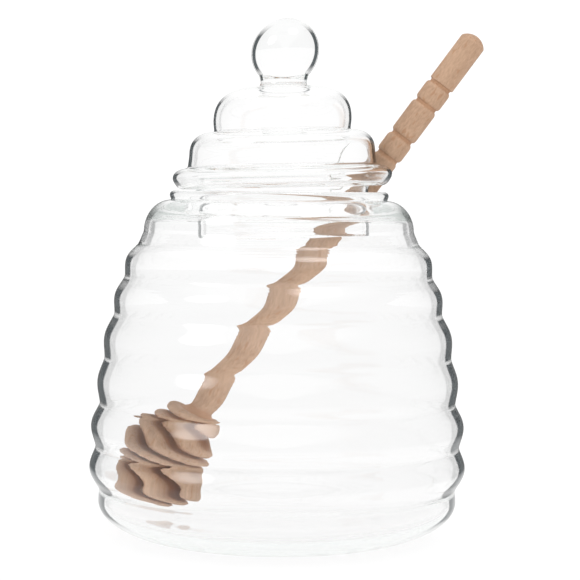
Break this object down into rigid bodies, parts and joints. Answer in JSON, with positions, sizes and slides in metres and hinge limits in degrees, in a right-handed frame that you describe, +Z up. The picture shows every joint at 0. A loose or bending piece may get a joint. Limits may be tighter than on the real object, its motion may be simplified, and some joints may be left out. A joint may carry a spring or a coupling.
{
  "type": "glass honey jar with lid and dipper",
  "caption": "Clear glass beehive-shaped honey jar with rounded ribs, a loose stepped lid with a ball knob and a notch, and a turned wooden honey dipper leaning inside.",
  "frame": {"origin": "centre of the jar's flat foot, on the surface it stands on", "axes": "+Z up along the jar's axis, -Y towards the picture's camera, +X to its right, the side the dipper's handle leaves by"},
  "size_m": [0.1052, 0.101, 0.1389],
  "materials": {
    "jar_glass": "clear blown borosilicate glass, glossy, faint grey-green in thick places",
    "lid_glass": "clear blown and pressed borosilicate glass, glossy, solid ball knob",
    "beech": "bare turned beech, fine sanded, unoiled"
  },
  "bodies": {
    "root": {"jar": "jar_glass", "lid": "lid_glass", "dipper": "beech"}
  },
  "joints": []
}
